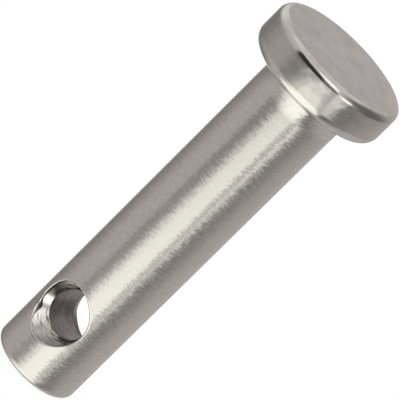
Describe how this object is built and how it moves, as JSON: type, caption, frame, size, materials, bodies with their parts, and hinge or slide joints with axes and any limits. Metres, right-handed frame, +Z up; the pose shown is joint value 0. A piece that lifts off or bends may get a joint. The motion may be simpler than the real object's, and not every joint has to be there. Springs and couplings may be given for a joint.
{
  "type": "clevis pin",
  "caption": "Turned stainless clevis pin with a flat, round-edged head and a countersunk cross hole near its foot for a split pin or ring.",
  "frame": {"origin": "middle of the flat foot face, on the surface that the pin stands on", "axes": "+Z up the middle of the shank from the foot to the head, Y through the cross hole"},
  "size_m": [0.0098, 0.0096, 0.0284],
  "materials": {
    "satin_stainless": "satin stainless steel, finely ground round the shank, with a smoother tumbled head and bright turned countersinks"
  },
  "bodies": {
    "root": {"clevis_pin": "satin_stainless"}
  },
  "joints": []
}
